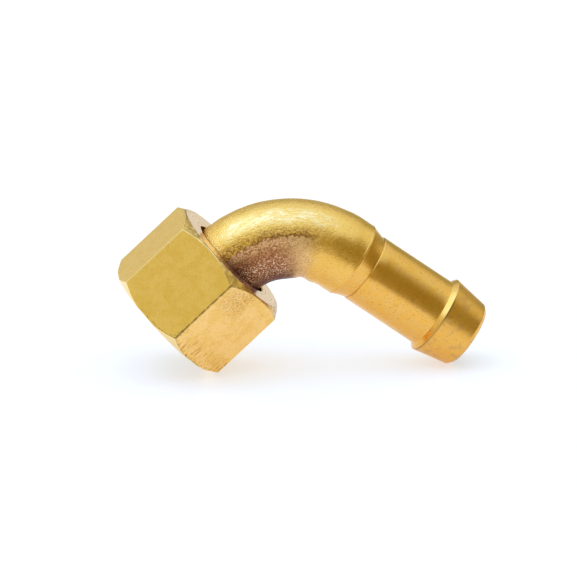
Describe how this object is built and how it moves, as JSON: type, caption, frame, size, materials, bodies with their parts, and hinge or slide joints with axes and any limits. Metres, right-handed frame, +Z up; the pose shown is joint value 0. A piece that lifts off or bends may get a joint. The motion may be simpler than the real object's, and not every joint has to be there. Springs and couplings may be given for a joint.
{
  "type": "flare fitting",
  "caption": "Bent brass hose tail with a barbed spigot and a captive hexagonal swivel nut for a threaded flare joint.",
  "frame": {"origin": "centre of the bottom of the bounding box, on the surface that the fitting stands on", "axes": "+Z up; +X from the nut towards the hose barb; the bend lies in the XZ plane, so +Y runs across the nut's corners. The nut's axis rises at 43.5 degrees towards the bend, in the XZ plane, and the spigot's falls at 35.4 degrees to the barb."},
  "size_m": [0.0614, 0.0256, 0.0288],
  "materials": {
    "nut_brass": "satin, drawn hexagon bar with turned chamfers and end faces",
    "tail_brass": "satin, tumbled, with a copper pink annealed patch in the bend"
  },
  "bodies": {
    "tail": {"hose_tail": "tail_brass"},
    "nut": {"swivel_nut": "nut_brass"}
  },
  "joints": [
    {"name": "nut_swivel", "type": "hinge", "parent": "tail", "child": "nut", "pos_m": [-0.01174, 0, 0.01883], "axis": [0.7253, 0, 0.6884], "continuous": true}
  ]
}
